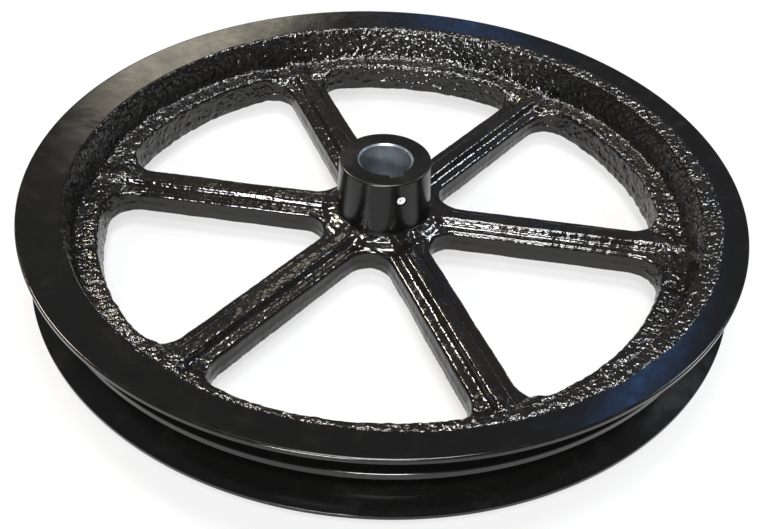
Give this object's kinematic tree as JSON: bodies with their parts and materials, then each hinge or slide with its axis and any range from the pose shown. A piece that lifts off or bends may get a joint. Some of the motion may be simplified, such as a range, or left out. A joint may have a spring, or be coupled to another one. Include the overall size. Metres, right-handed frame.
{
  "type": "v belt pulley",
  "caption": "Cast iron V belt pulley: rim with belt grooves and a recessed rib between them, ribbed arms, keyed hub with a radial set screw.",
  "frame": {"origin": "on the bore axis at the middle of the rim's width, which is also the middle of the hub's length", "axes": "+Z along the bore axis, out of the turned face of the rim that the arms' ribs stand towards; +X along one arm; the keyway and set screw are 60 degrees clockwise from +X seen from +Z"},
  "size_m": [0.4069, 0.407, 0.0596],
  "materials": {
    "black_enamel_iron": "gloss black enamel over grey iron",
    "zinc_steel": "bright zinc plate"
  },
  "bodies": {
    "pulley": {"upper_flange": "black_enamel_iron", "lower_flange": "black_enamel_iron", "centre_rib": "black_enamel_iron", "rim_barrel": "black_enamel_iron", "web_ring": "black_enamel_iron", "arm_1": "black_enamel_iron", "arm_2": "black_enamel_iron", "arm_3": "black_enamel_iron", "arm_4": "black_enamel_iron", "arm_5": "black_enamel_iron", "arm_6": "black_enamel_iron", "hub_boss": "black_enamel_iron", "hub": "black_enamel_iron", "hub_tail": "black_enamel_iron"},
    "screw": {"set_screw": "zinc_steel"}
  },
  "joints": [
    {"name": "set_screw_travel", "type": "slide", "parent": "pulley", "child": "screw", "axis": [0.5, -0.866, 0], "range_m": [-0.003, 0.006]}
  ]
}
